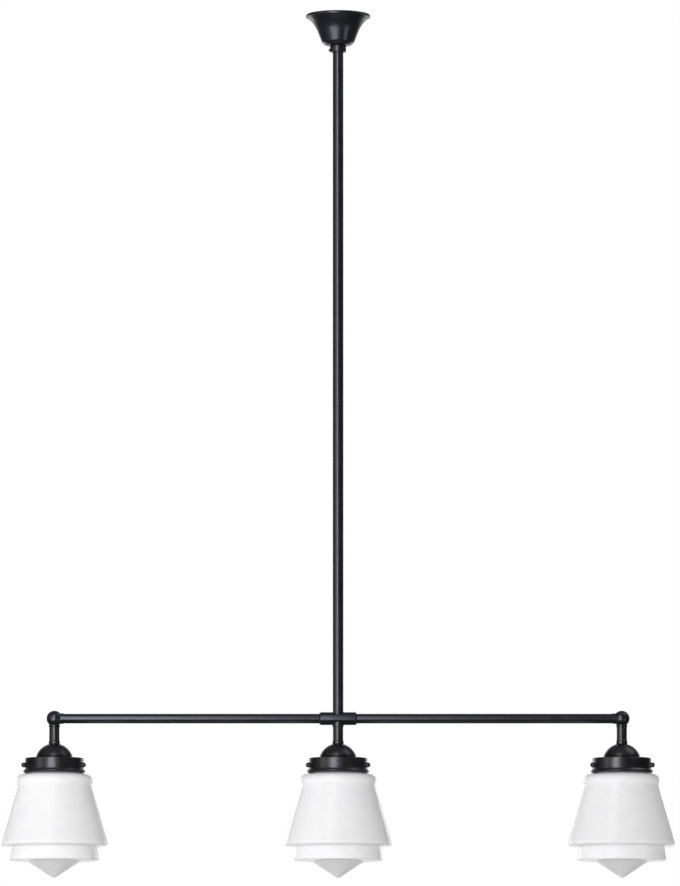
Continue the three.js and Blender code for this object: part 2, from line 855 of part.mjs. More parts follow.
// One lamp under the bar: stem, dome, gallery, glass, thumb screws, lampholder and bulb.
function lamp(place, stem) {
  const group = new THREE.Group();
  group.add(
    named(`stem_${place}`, stem, blackCoat),
    named(`dome_cap_${place}`, domeCap(), blackCoat),
    named(`gallery_${place}`, gallery(), blackCoat),
    named(`glass_shade_${place}`, glassShade(), opalGlass),
    named(`stem_nipple_${place}`, stemNipple(), zincSteel),
    named(`lock_nut_${place}`, lockNut(), zincSteel),
    named(`holder_cap_${place}`, holderCap(), blackPlastic),
    named(`holder_body_${place}`, holderBody(), blackPlastic),
    named(`screw_shell_${place}`, screwShell(), brass),
    named(`lamp_cap_${place}`, lampCap(), aluminium),
    named(`lamp_bulb_${place}`, lampBulb(), lampGlass),
  );
  screwAngles.forEach((angle, i) => {
    const screw = named(`thumb_screw_${place}_${i + 1}`, thumbScrew(), blackCoat);
    screw.position.z = screwHeight;
    screw.rotation.z = degrees(angle);
    group.add(screw);
  });
  return group;
}

const ceilingGroup = new THREE.Group();
ceilingGroup.add(
  named("ceiling_plate", ceilingPlate(), zincSteel),
  named("ceiling_hook", ceilingHook(), zincSteel),
  named("terminal_block", terminalBlock(), creamPlastic),
  named("hanging_link", hangingLink(), zincSteel),
  named("loop_nipple", loopNipple(), zincSteel),
  named("downrod", downrod(), blackCoat),
  named("canopy", canopy(), blackCoat),
  named("set_collar", setCollar(), blackCoat),
  named("clamp_screw", clampScrew(), blackCoat),
);

const crossGroup = new THREE.Group();
crossGroup.position.z = -dropLength;
crossGroup.add(
  named("rod_nipple", tube(threadRadius, wirewayRadius, threadRadius + rodNippleLength, threadRadius, smallSides),
    zincSteel),
  named("cross_coupler", crossCoupler(), blackCoat),
);
for (const [side, place] of [[-1, "left"], [1, "right"]]) {
  const nippleEnd = ballNippleStart + ballNippleLength;
  const nipple = tube(threadRadius, wirewayRadius, nippleEnd, ballNippleStart, smallSides);
  const end = new THREE.Group();
  end.position.x = side * lampSpacing;
  end.add(
    named(`end_ball_${place}`, endBall(side), blackCoat),
    named(`ball_nipple_${place}`, nipple.rotateY((-side * Math.PI) / 2), zincSteel),
    lamp(place, stemTo(stemTop)),
  );
  crossGroup.add(end, named(`crossbar_${place}`, crossbar(side), blackCoat));
}
crossGroup.add(lamp("middle", saddledStem()));

const pendant = new THREE.Group();
pendant.add(ceilingGroup, crossGroup);

export default pendant;
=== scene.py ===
"""Linear island pendant with three opal glass shades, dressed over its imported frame."""

import json
import math

import bmesh
import bpy
from bpy.props import FloatProperty, FloatVectorProperty, PointerProperty
from bpy.types import Operator, Panel, PropertyGroup
from mathutils import Matrix, Vector

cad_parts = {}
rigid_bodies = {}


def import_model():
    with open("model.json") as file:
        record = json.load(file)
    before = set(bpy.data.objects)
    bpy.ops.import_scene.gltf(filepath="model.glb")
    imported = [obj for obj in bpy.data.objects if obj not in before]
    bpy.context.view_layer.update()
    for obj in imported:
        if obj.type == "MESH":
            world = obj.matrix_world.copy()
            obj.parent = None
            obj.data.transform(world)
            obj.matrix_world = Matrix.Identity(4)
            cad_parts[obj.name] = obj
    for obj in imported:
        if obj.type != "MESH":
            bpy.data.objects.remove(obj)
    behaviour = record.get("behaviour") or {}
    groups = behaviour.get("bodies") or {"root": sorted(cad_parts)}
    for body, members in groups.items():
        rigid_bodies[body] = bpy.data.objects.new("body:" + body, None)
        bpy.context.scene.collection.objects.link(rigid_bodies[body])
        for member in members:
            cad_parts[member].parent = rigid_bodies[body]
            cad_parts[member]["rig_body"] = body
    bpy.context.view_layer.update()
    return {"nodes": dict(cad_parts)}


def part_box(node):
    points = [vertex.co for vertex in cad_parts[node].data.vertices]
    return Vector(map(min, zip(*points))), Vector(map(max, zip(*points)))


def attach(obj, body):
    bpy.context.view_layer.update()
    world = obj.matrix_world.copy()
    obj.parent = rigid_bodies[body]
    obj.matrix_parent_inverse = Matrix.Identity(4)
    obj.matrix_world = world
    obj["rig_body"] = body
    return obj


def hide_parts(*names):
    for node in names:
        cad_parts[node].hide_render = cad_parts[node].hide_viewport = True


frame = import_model()

bl_info = {
    "name": "Island Pendant",
    "version": (1, 0, 0),
    "blender": (4, 5, 0),
    "location": "View3D > Sidebar > Pendant",
    "description": "Dresses a three-lamp island pendant over its packed frame",
    "category": "Add Mesh",
}

MM = 0.001
PLACES = ("left", "middle", "right")
SIDES = {"left": -1, "right": 1}

# Where the three thumb screws stand round each gallery, in degrees
SCREW_ANGLES = (-30, -150, 90)

# The air between pieces that touch in the real pendant, in millimetres
FIT = 0.3

# Edges with a sharper bend than this are drawn sharp, in degrees
SHARP_BEND = 32

# A rounding has a segment for each of these steps, in degrees
ARC_STEP = 9

# Points nearer than this are one, in millimetres
MERGE = 1e-3

# The photograph's frame, in pixels, and where its camera stood
FRAME_WIDTH = 680
FRAME_HEIGHT = 886
FOCAL_PIXELS = 7451
CAMERA_PLACE = Vector((2.9, -11150.0, -1764.2)) * MM
CAMERA_PITCH = 5.69

# What the softboxes are aimed at, in metres
WHOLE = Vector((0, 0, -0.45))
CUP = Vector((0, 0, -0.05))
DOMES = Vector((0, 0, -1.0))

# Each softbox: name, target, azimuth and elevation in degrees, distance and size in
# metres, and power in watts. Azimuth 0 is at the camera's side.
SOFTBOXES = (
    ("Key", WHOLE, -18, 0, 2.8, (1.25, 2.6), 32),
    ("Front", WHOLE, 8, 0, 2.8, (0.9, 2.6), 0.8),
    ("Side", WHOLE, -62, 0, 2.8, (1.0, 2.0), 5),
    ("Low", CUP, -24, -32, 3.1, (2.4, 0.5), 14.4),
    ("Low right", CUP, 52, -32, 3.1, (0.9, 0.6), 2.4),
    ("Back left", CUP, -152, -22, 2.8, (0.7, 0.9), 4.4),
    ("Back right", CUP, 152, -22, 2.8, (0.7, 0.9), 3),
    ("Top", DOMES, -15, 41, 2.8, (1.1, 0.7), 4),
    ("Top right", DOMES, 98, 48, 2.8, (1.5, 1.5), 5),
)

# The studio's brightness, in which the white backdrop is 1: as reflections show it, and
# then as light
DARK_ROOM = 0.02
GREY_CEILING = 0.16
EYE_LEVEL = 1.27
UNDERNEATH = 0.45
OVERHEAD = 0.08

# How far below the ceiling the floor lies, in metres, and how bright it looks by itself
FLOOR_DEPTH = 2.7
FLOOR_GLOW = 0.8


def linear(code):
    """The linear red, green and blue of an sRGB hex colour."""
    values = [int(code[i : i + 2], 16) / 255 for i in (1, 3, 5)]
    return tuple(
        v / 12.92 if v <= 0.04045 else ((v + 0.055) / 1.055) ** 2.4 for v in values
    )


def length(name, millimetres, description):
    """A length property, given in millimetres and kept in metres."""
    return FloatProperty(
        name=name,
        description=description,
        default=millimetres * MM,
        min=0.0,
        precision=4,
        unit="LENGTH",
        subtype="DISTANCE",
    )


def colour(name, code, description):
    """A colour property, from an sRGB hex colour."""
    return FloatVectorProperty(
        name=name,
        description=description,
        default=linear(code),
        min=0.0,
        max=1.0,
        subtype="COLOR",
    )


class PENDANT_PG_sizes(PropertyGroup):
    """Sizes of the pendant's pieces."""

    canopy_radius: length("Canopy radius", 48.7, "Radius of the canopy's rolled lip")
    waist_radius: length("Waist radius", 34.4, "Where the canopy's flare meets its cup")
    cup_radius: length("Cup radius", 22.6, "Radius of the canopy's flat bottom")
    rod_radius: length("Rod radius", 8.0, "Outer radius of the downrod")
    bore_radius: length("Bore radius", 5.3, "Inner radius of the rod and the bars")
    collar_radius: length("Collar radius", 12.25, "Radius of the collar on the rod")
    coupler_radius: length("Coupler radius", 9.7, "Radius of the cross coupler")
    bar_radius: length("Bar radius", 7.25, "Outer radius of the crossbars")
    ball_radius: length("Ball radius", 11.9, "Radius of the balls at the bar's ends")
    stem_radius: length("Stem radius", 7.75, "Radius of the stems between their beads")
    bead_radius: length("Bead radius", 8.5, "Radius of the bead at each stem's end")
    dome_base: length("Dome base", 27.7, "Radius of the dome caps at their base")
    gallery_radius: length("Gallery radius", 44.0, "Outer radius of the gallery's wall")
    gallery_bead: length("Gallery bead", 47.5, "Radius of the bead round its mouth")
    screw_radius: length("Thumb screw radius", 3.7, "Radius of the screw's head")
    lip_radius: length("Glass lip radius", 40.3, "Radius of the lip in the gallery")
    neck_radius: length("Glass neck radius", 37.8, "Radius of the glass below its lip")
    shoulder_radius: length("Glass shoulder", 57.6, "Radius of the rolled shoulder")
    cone_radius: length("Glass radius", 82.3, "Widest radius, at the cone's foot")
    drum_radius: length("Glass drum", 67.9, "Radius of the drum under the cone")
    point_radius: length("Glass point", 40.3, "Radius of the pointed bottom")
    glass_wall: length("Glass wall", 3.2, "Thickness of the glass")


class PENDANT_PG_finishes(PropertyGroup):
    """Colours of the pendant's finishes."""

    coat: colour("Powder coat", "#0d0e12", "Main colour of the black coat")
    coat_worn: colour("Powder coat, thin", "#121419", "Where the coat came out thin")
    enamel: colour("Fitter enamel", "#0a0a0b", "Main colour of the domes and galleries")
    enamel_thin: colour("Fitter enamel, thin", "#100f10", "Where the enamel is thin")
    glass: colour("Opal glass", "#e8e8eb", "Main colour of the glass")
    glass_cloud: colour("Opal glass, cloudy", "#f3f3f2", "Denser clouds in the glass")
    zinc: colour("Zinc plate", "#b9bcc0", "Colour of the plated fixings")
    phenolic: colour("Phenolic", "#191818", "Colour of the lampholders")
    cream: colour("Cream moulding", "#e2ddcd", "Colour of the terminal block")
    brass: colour("Brass", "#c8a765", "Colour of the screw shells")
    lamp: colour("Lamp glass", "#f2efe8", "Colour of the lamps' glass")
    aluminium: colour("Lamp cap", "#d2d3d6", "Colour of the lamps' caps")


def in_mm(*values):
    """Lengths in metres as millimetres."""
    return [value / MM for value in values]


def ends_of(node):
    """Lowest and highest height of a CAD node, in millimetres."""
    low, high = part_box(node)
    return low.z / MM, high.z / MM


def middle_of(node):
    """The middle of a CAD node's box, in millimetres."""
    low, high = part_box(node)
    return (low + high) / 2 / MM


# Shaping, in millimetres. The corners of an outline are (radius, height) or, where they
# are rounded, (radius, height, rounding).


def round_corner(bm, vert, rounding):
    """Rounds a corner of a wire outline with an arc of that radius."""
    one, two = [edge.other_vert(vert).co - vert.co for edge in vert.link_edges]
    half = one.angle(two) / 2
    # The arc may reach almost to the next corner.
    room = min(one.length, two.length) - 1e-4
    bmesh.ops.bevel(
        bm,
        geom=[vert],
        offset=min(rounding / math.tan(half), room),
        offset_type="OFFSET",
        segments=max(3, math.ceil(math.degrees(math.pi - 2 * half) / ARC_STEP)),
        profile=0.5,
        affect="VERTICES",
        material=-1,
    )


def turned(corners, sides=48):
    """A solid turned about the Z axis. Its outline ends on the axis, or is closed."""
    bm = bmesh.new()
    verts = [bm.verts.new((radius, 0, height)) for radius, height, *_ in corners]
    following = verts[1:]
    if corners[0][0] > 0 or corners[-1][0] > 0:
        following.append(verts[0])
    for one, two in zip(verts, following):
        bm.edges.new((one, two))
    for vert, corner in zip(verts, corners):
        if len(corner) > 2:
            round_corner(bm, vert, corner[2])
    return spun(bm, sides)


def spun(bm, sides):
    """The wire outline of bm, spun once round the Z axis and closed at its poles."""
    bmesh.ops.spin(
        bm,
        geom=bm.verts[:] + bm.edges[:],
        axis=(0, 0, 1),
        angle=math.tau,
        steps=sides,
        use_merge=True,
    )
    bmesh.ops.remove_doubles(bm, verts=bm.verts[:], dist=MERGE)
    bmesh.ops.recalc_face_normals(bm, faces=bm.faces[:])
    return bm


def moved(bm, *matrices):
    """Moves bm by each matrix in turn."""
    for matrix in matrices:
        bmesh.ops.transform(bm, matrix=matrix, verts=bm.verts[:])


def shift(x=0.0, y=0.0, z=0.0):
    """A move, in millimetres."""
    return Matrix.Translation((x, y, z))


def turn(axis, degrees):
    """A turn about an axis through the origin."""
    return Matrix.Rotation(math.radians(degrees), 4, axis)


def bent_wire(points, radius, closed=False):
    """Round wire bent along smooth points, in millimetres."""
    curve = bpy.data.curves.new("wire", "CURVE")
    curve.dimensions = "3D"
    curve.bevel_depth = radius
    curve.bevel_resolution = 6
    curve.resolution_u = 10
    curve.use_fill_caps = not closed
    spline = curve.splines.new("BEZIER")
    spline.bezier_points.add(len(points) - 1)
    for knot, point in zip(spline.bezier_points, points):
        knot.co = point
        knot.handle_left_type = knot.handle_right_type = "AUTO"
    spline.use_cyclic_u = closed
    holder = bpy.data.objects.new("wire", curve)
    bm = bmesh.new()
    mesh = bpy.data.meshes.new_from_object(holder)
    bm.from_mesh(mesh)
    bpy.data.objects.remove(holder)
    bpy.data.curves.remove(curve)
    bpy.data.meshes.remove(mesh)
    bmesh.ops.remove_doubles(bm, verts=bm.verts[:], dist=MERGE)
    bmesh.ops.recalc_face_normals(bm, faces=bm.faces[:])
    return bm


def add_to(bm, other):
    """bm with the faces of another bmesh, which is freed."""
    mesh = bpy.data.meshes.new("part")
    other.to_mesh(mesh)
    other.free()
    bm.from_mesh(mesh)
    bpy.data.meshes.remove(mesh)
    return bm


def make_piece(name, bm, coat, *nodes):
    """Makes a piece of a bmesh in millimetres.

    It stands for the CAD nodes and rides on their body.
    """
    bmesh.ops.scale(bm, vec=(MM, MM, MM), verts=bm.verts[:])
    mesh = bpy.data.meshes.new(name)
    bm.to_mesh(mesh)
    bm.free()
    mesh.shade_smooth()
    mesh.set_sharp_from_angle(angle=math.radians(SHARP_BEND))
    mesh.materials.append(finish(coat))
    piece = bpy.data.objects.new(name, mesh)
    bpy.context.scene.collection.objects.link(piece)
    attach(piece, frame["nodes"][nodes[0]]["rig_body"])
    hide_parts(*nodes)


def dress_node(node, slot):
    """A CAD node that stays as it is and gets its finish."""
    solid = frame["nodes"][node]
    solid.data.materials.clear()
    solid.data.materials.append(finish(slot))


# Finishes. Patterns are given their width in millimetres on the pieces, whose Object
# coordinates are metres.

# The range in which nearly all of a noise's values lie
NOISE_LOW = 0.3
NOISE_HIGH = 0.7


def add(tree, kind, inputs=None, **settings):
    """Adds a node with settings. An input is a value, or the socket that feeds it."""
    node = tree.nodes.new(kind)
    for name, value in settings.items():
        setattr(node, name, value)
    for name, value in (inputs or {}).items():
        if isinstance(value, bpy.types.NodeSocket):
            tree.links.new(value, node.inputs[name])
        else:
            node.inputs[name].default_value = value
    return node


def per(millimetres):
    """The noise scale at which features are about that wide."""
    return 1 / (millimetres * MM)


def tint(code):
    """An sRGB hex colour as a shader's colour."""
    return (*linear(code), 1)


def new_material(name):
    """An empty material, its node tree and its Object coordinates."""
    material = bpy.data.materials.new(name)
    material.use_nodes = True
    material.node_tree.nodes.clear()
    place = add(material.node_tree, "ShaderNodeTexCoord").outputs["Object"]
    return material, material.node_tree, place


def surfaced(material, skin, tone, gloss=None, relief=None):
    """Ends a material with its surface, whose plain inputs are skin, and its output.

    Tone is a pattern's node and the two colours that it blends. Gloss is a pattern's
    node and its two roughnesses. Relief is a pattern's node, its strength and its depth
    in millimetres.
    """
    tree = material.node_tree
    pattern, one, two = tone
    blend = add(
        tree,
        "ShaderNodeMix",
        {0: pattern.outputs["Fac"], 6: (*one, 1), 7: (*two, 1)},
        data_type="RGBA",
    )
    inputs = {"Base Color": blend.outputs[2], **skin}
    if gloss:
        pattern, least, most = gloss
        span = add(
            tree,
            "ShaderNodeMapRange",
            {
                "Value": pattern.outputs["Fac"],
                "From Min": NOISE_LOW,
                "From Max": NOISE_HIGH,
                "To Min": least,
                "To Max": most,
            },
        )
        inputs["Roughness"] = span.outputs["Result"]
    if relief:
        pattern, strength, depth = relief
        height = pattern.outputs["Fac"]
        bump = add(
            tree,
            "ShaderNodeBump",
            {"Strength": strength, "Distance": depth * MM, "Height": height},
        )
        inputs["Normal"] = bump.outputs["Normal"]
    surface = add(tree, "ShaderNodeBsdfPrincipled", inputs)
    add(tree, "ShaderNodeOutputMaterial", {"Surface": surface.outputs[0]})
    return material


def powder_coated_steel(colours):
    """Steel tube and sheet, sprayed with satin powder and baked.

    The coat melts into a skin with faint orange peel, so highlights are soft and their
    edges waver. It is blue-black, and a little lighter where it came out thin.
    """
    material, tree, place = new_material("Satin powder-coated steel")
    thin = add(
        tree,
        "ShaderNodeTexNoise",
        {"Vector": place, "Scale": per(38), "Detail": 3.0, "Roughness": 0.55},
    )
    # Real orange peel is 1 to 2 mm wide. Drawn 5 mm wide, it still shows in the render.
    peel = add(
        tree,
        "ShaderNodeTexNoise",
        {"Vector": place, "Scale": per(5), "Detail": 2.0},
    )
    skin = {"IOR": 1.6, "Specular IOR Level": 1.0, "Specular Tint": tint("#dfe6f7")}
    tone = (thin, colours.coat, colours.coat_worn)
    return surfaced(material, skin, tone, (thin, 0.27, 0.35), (peel, 0.25, 0.01))


def stoved_black_enamel(colours):
    """Pressed steel fitters, dipped in black enamel and stoved.

    The enamel flows out flatter than the rods' powder, so highlights are cleaner. It is
    a neutral black.
    """
    material, tree, place = new_material("Stoved black enamel")
    flow = add(
        tree,
        "ShaderNodeTexNoise",
        {"Vector": place, "Scale": per(24), "Detail": 3.0},
    )
    # The sags of dipped enamel are 6 to 10 mm wide.
    sags = add(
        tree,
        "ShaderNodeTexNoise",
        {"Vector": place, "Scale": per(8), "Detail": 1.0, "Roughness": 0.4},
    )
    skin = {"IOR": 1.6, "Specular IOR Level": 1.0, "Specular Tint": tint("#eeeef5")}
    tone = (flow, colours.enamel, colours.enamel_thin)
    return surfaced(material, skin, tone, (flow, 0.28, 0.35), (sags, 0.12, 0.03))


def blown_opal_glass(colours):
    """Opal glass, white all through, blown into a turned mould.

    It scatters light inside, so its shadows are soft. Its fire-polished skin has slow
    waves, and is a little duller in places.
    """
    material, tree, place = new_material("Blown opal glass")
    cloud = add(
        tree,
        "ShaderNodeTexNoise",
        {"Vector": place, "Scale": per(30), "Detail": 4.0, "Roughness": 0.6},
    )
    wave = add(
        tree,
        "ShaderNodeTexNoise",
        {"Vector": place, "Scale": per(26), "Detail": 1.0, "Roughness": 0.4},
    )
    skin = {
        "IOR": 1.52,
        "Specular IOR Level": 0.15,
        "Subsurface Weight": 0.2,
        "Subsurface Radius": (1.0, 1.0, 1.0),
        "Subsurface Scale": 4 * MM,
    }
    tone = (cloud, colours.glass, colours.glass_cloud)
    return surfaced(material, skin, tone, (wave, 0.1, 0.17), (wave, 0.6, 0.3))


def zinc_plated_steel(colours):
    """Steel with bright zinc plate: pale metal with dull, faintly yellow patches."""
    material, tree, place = new_material("Bright zinc-plated steel")
    patch = add(
        tree,
        "ShaderNodeTexNoise",
        {"Vector": place, "Scale": per(7), "Detail": 4.0, "Roughness": 0.6},
    )
    tone = (patch, colours.zinc, linear("#a8a394"))
    metal = {"Metallic": 1.0}
    return surfaced(material, metal, tone, (patch, 0.24, 0.42), (patch, 0.3, 0.02))


def moulded_phenolic(colours):
    """Moulded phenolic resin: deep black with a hard polish and faint flow marks."""
    material, tree, place = new_material("Moulded phenolic")
    flow = add(
        tree,
        "ShaderNodeTexNoise",
        {"Vector": place, "Scale": per(9), "Detail": 3.0, "Distortion": 1.2},
    )
    tone = (flow, colours.phenolic, linear("#262322"))
    return surfaced(material, {"IOR": 1.6}, tone, (flow, 0.25, 0.38))


def moulded_cream_nylon(colours):
    """Cream nylon from a sparked steel tool: a fine even grain and a soft sheen."""
    material, tree, place = new_material("Moulded cream nylon")
    grain = add(
        tree,
        "ShaderNodeTexNoise",
        {"Vector": place, "Scale": per(0.8), "Detail": 2.0, "Roughness": 0.6},
    )
    skin = {"Roughness": 0.48, "IOR": 1.53}
    tone = (grain, colours.cream, linear("#d6d0be"))
    return surfaced(material, skin, tone, relief=(grain, 0.4, 0.03))


def rolled_brass_sheet(colours):
    """Brass sheet rolled into a thread: warm metal that has dulled unevenly."""
    material, tree, place = new_material("Rolled brass sheet")
    tarnish = add(
        tree,
        "ShaderNodeTexNoise",
        {"Vector": place, "Scale": per(5), "Detail": 4.0, "Roughness": 0.6},
    )
    tone = (tarnish, colours.brass, linear("#a98848"))
    return surfaced(material, {"Metallic": 1.0}, tone, (tarnish, 0.22, 0.4))


def silica_coated_lamp_glass(colours):
    """Lamp glass, coated inside with white silica: satin white and faintly cloudy."""
    material, tree, place = new_material("Silica-coated lamp glass")
    powder = add(
        tree,
        "ShaderNodeTexNoise",
        {"Vector": place, "Scale": per(11), "Detail": 4.0, "Roughness": 0.6},
    )
    tone = (powder, colours.lamp, linear("#e6e2d9"))
    return surfaced(material, {"IOR": 1.52}, tone, (powder, 0.2, 0.3))


def drawn_aluminium(colours):
    """Aluminium sheet, drawn into a lamp cap: pale metal with fine lines round it."""
    material, tree, place = new_material("Drawn aluminium sheet")
    # Drawing lines run round the cap, so the noise is squeezed along its axis.
    squeezed = add(
        tree,
        "ShaderNodeMapping",
        {"Vector": place, "Scale": (0.15, 0.15, 4.0)},
    )
    place = squeezed.outputs["Vector"]
    lines = add(
        tree,
        "ShaderNodeTexNoise",
        {"Vector": place, "Scale": per(3), "Detail": 3.0, "Roughness": 0.6},
    )
    tone = (lines, colours.aluminium, linear("#b3b4b8"))
    return surfaced(material, {"Metallic": 1.0}, tone, (lines, 0.25, 0.4))


# The finish of each material slot in the record, and of the fitters' enamel,
# which has no slot of its own.
FINISHES = {
    "black_coat": powder_coated_steel,
    "fitter_enamel": stoved_black_enamel,
    "opal_glass": blown_opal_glass,
    "zinc_steel": zinc_plated_steel,
    "black_plastic": moulded_phenolic,
    "cream_plastic": moulded_cream_nylon,
    "shell_brass": rolled_brass_sheet,
    "lamp_glass": silica_coated_lamp_glass,
    "lamp_aluminium": drawn_aluminium,
}
made_finishes = {}


def finish(name):
    """A finish, made the first time that a piece needs it."""
    if name not in made_finishes:
        made_finishes[name] = FINISHES[name](bpy.context.scene.pendant_finishes)
    return made_finishes[name]


class PENDANT_OT_canopy(Operator):
    """Canopy: rolled lip, flare, straight cup and flat bottom, spun from sheet"""

    bl_idname = "pendant.canopy"
    bl_label = "Canopy"

    def execute(self, context):
        s = context.scene.pendant_sizes
        bottom, top = ends_of("canopy")
        lip, waist, cup, rod = in_mm(
            s.canopy_radius, s.waist_radius, s.cup_radius, s.rod_radius
        )
        wall, lip_depth, flare_depth = 1.2, 4.4, 16.4
        flare_bend, base_bend = 42, 10
        bm = turned(
            [
                (lip - 4.4, top, 1.6),
                (lip, top, 2.1),
                (lip, top - lip_depth, 0.8),
                (lip - 2.7, top - lip_depth),
                (waist, top - flare_depth, flare_bend),
                (cup, bottom, base_bend),
                (rod + FIT, bottom),
                (rod + FIT, bottom + wall),
                (cup - 0.8, bottom + wall, base_bend - wall),
                (waist - 1.0, top - flare_depth + 0.7, flare_bend + wall),
                (lip - 4.4, top - lip_depth + 0.1),
            ],
            96,
        )
        make_piece("canopy_cup", bm, "black_coat", "canopy")
        return {"FINISHED"}


class PENDANT_OT_collar(Operator):
    """Set collar under the canopy, and its clamp screw"""

    bl_idname = "pendant.collar"
    bl_label = "Set collar"

    def execute(self, context):
        s = context.scene.pendant_sizes
        collar, rod = in_mm(s.collar_radius, s.rod_radius)
        bottom, top = ends_of("set_collar")
        ring = turned(
            [
                (collar, top, 0.9),
                (collar, bottom, 0.9),
                (rod + FIT, bottom, 0.3),
                (rod + FIT, top, 0.3),
            ],
            64,
        )
        make_piece("collar_ring", ring, "black_coat", "set_collar")
        shank, head = 1.7, 2.3
        tip, stop, crown = rod + FIT, collar + FIT, collar + 1.9
        screw = turned(
            [
                (0, tip),
                (shank, tip, 0.3),
                (shank, stop),
                (head, stop, 0.2),
                (head, crown, 0.7),
                (0, crown),
            ],
            24,
        )
        height = middle_of("clamp_screw").z
        moved(screw, turn("Y", -90), shift(z=height))
        make_piece("collar_screw", screw, "black_coat", "clamp_screw")
        return {"FINISHED"}


class PENDANT_OT_downrod(Operator):
    """Downrod, whose lower end sits on the round coupler"""

    bl_idname = "pendant.downrod"
    bl_label = "Downrod"

    def execute(self, context):
        s = context.scene.pendant_sizes
        rod, bore, coupler = in_mm(s.rod_radius, s.bore_radius, s.coupler_radius)
        _, top = ends_of("downrod")
        axis = middle_of("crossbar_left").z
        bm = turned([(rod, top, 0.4), (rod, axis), (bore, axis), (bore, top)], 64)
        # The lower end follows the coupler's round top.
        saddle = coupler + FIT
        for vert in bm.verts:
            if vert.co.z < axis + 1:
                vert.co.z = axis + math.sqrt(saddle**2 - vert.co.y**2)
        make_piece("rod_tube", bm, "black_coat", "downrod")
        return {"FINISHED"}


class PENDANT_OT_coupler(Operator):
    """Cross coupler, a sleeve with chamfered ends"""

    bl_idname = "pendant.coupler"
    bl_label = "Cross coupler"

    def execute(self, context):
        s = context.scene.pendant_sizes
        coupler, bar = in_mm(s.coupler_radius, s.bar_radius)
        low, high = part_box("cross_coupler")
        end = (high.x - low.x) / 2 / MM
        chamfer = 1.8
        bm = turned(
            [
                (coupler - chamfer, end, 0.3),
                (coupler, end - chamfer, 0.8),
                (coupler, chamfer - end, 0.8),
                (coupler - chamfer, -end, 0.3),
                (bar + FIT, -end),
                (bar + FIT, end),
            ],
            64,
        )
        moved(bm, turn("Y", 90), shift(z=middle_of("crossbar_left").z))
        make_piece("coupler_sleeve", bm, "black_coat", "cross_coupler")
        return {"FINISHED"}


class PENDANT_OT_crossbars(Operator):
    """The two crossbar tubes"""

    bl_idname = "pendant.crossbars"
    bl_label = "Crossbars"

    def execute(self, context):
        s = context.scene.pendant_sizes
        bar, bore = in_mm(s.bar_radius, s.bore_radius)
        for place in SIDES:
            node = f"crossbar_{place}"
            low, high = (corner.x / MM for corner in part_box(node))
            bm = turned([(bar, high, 0.4), (bar, low, 0.4), (bore, low), (bore, high)])
            moved(bm, turn("Y", 90), shift(z=middle_of(node).z))
            make_piece(f"bar_tube_{place}", bm, "black_coat", node)
        return {"FINISHED"}


class PENDANT_OT_end_balls(Operator):
    """The balls at the bar's ends, necked towards the bar and flat on the stem"""

    bl_idname = "pendant.end_balls"
    bl_label = "End balls"

    def execute(self, context):
        s = context.scene.pendant_sizes
        ball, bore = in_mm(s.ball_radius, s.bore_radius)
        neck, neck_end, bore_end, seat = 7.9, -14.2, -5, -9.2
        for place, side in SIDES.items():
            bm = bmesh.new()
            tip = bm.verts.new((0, 0, ball))
            swept = bmesh.ops.spin(
                bm,
                geom=[tip],
                axis=(0, 1, 0),
                angle=math.pi - math.asin(neck / ball),
                steps=28,
            )
            reached = swept["geom_last"]
            last = next(v for v in reached if isinstance(v, bmesh.types.BMVert))
            for radius, height in (
                (neck, neck_end),
                (bore, neck_end),
                (bore, bore_end),
                (0, bore_end),
            ):
                following = bm.verts.new((radius, 0, height))
                bm.edges.new((last, following))
                last = following
            spun(bm, 64)
            moved(bm, turn("Y", 90 * side))
            cut = bmesh.ops.bisect_plane(
                bm,
                geom=bm.verts[:] + bm.edges[:] + bm.faces[:],
                dist=1e-4,
                plane_co=(0, 0, seat),
                plane_no=(0, 0, -1),
                clear_outer=True,
            )
            rim = [g for g in cut["geom_cut"] if isinstance(g, bmesh.types.BMEdge)]
            bmesh.ops.holes_fill(bm, edges=rim, sides=0)
            bmesh.ops.recalc_face_normals(bm, faces=bm.faces[:])
            centre = middle_of(f"glass_shade_{place}").x
            moved(bm, shift(centre, 0, middle_of("crossbar_left").z))
            make_piece(f"ball_{place}", bm, "black_coat", f"end_ball_{place}")
        return {"FINISHED"}


class PENDANT_OT_stems(Operator):
    """The three stems, with a bead at each end"""

    bl_idname = "pendant.stems"
    bl_label = "Stems"

    def execute(self, context):
        s = context.scene.pendant_sizes
        stem, bead, bore = in_mm(s.stem_radius, s.bead_radius, s.bore_radius)
        axis = middle_of("crossbar_left").z
        saddle = s.coupler_radius / MM + FIT / 2
        for place in PLACES:
            node = f"stem_{place}"
            bottom, top = ends_of(node)
            saddled = place == "middle"
            shoulder = ends_of("stem_left")[1] if saddled else top
            bm = turned(
                [
                    (bead, top) if saddled else (bead, top, 0.8),
                    (bead, shoulder - 2.6, 0.5),
                    (stem, shoulder - 3.5, 0.4),
                    (stem, bottom + 5.1, 0.4),
                    (bead, bottom + 4.2, 0.5),
                    (bead, bottom, 0.8),
                    (bore, bottom),
                    (bore, top),
                ]
            )
            if saddled:
                # The upper end follows the coupler's round underside.
                for vert in bm.verts:
                    if vert.co.z > top - 1:
                        vert.co.z = axis - math.sqrt(saddle**2 - vert.co.y**2)
            moved(bm, shift(middle_of(node).x))
            make_piece(f"stem_tube_{place}", bm, "fitter_enamel", node)
        return {"FINISHED"}


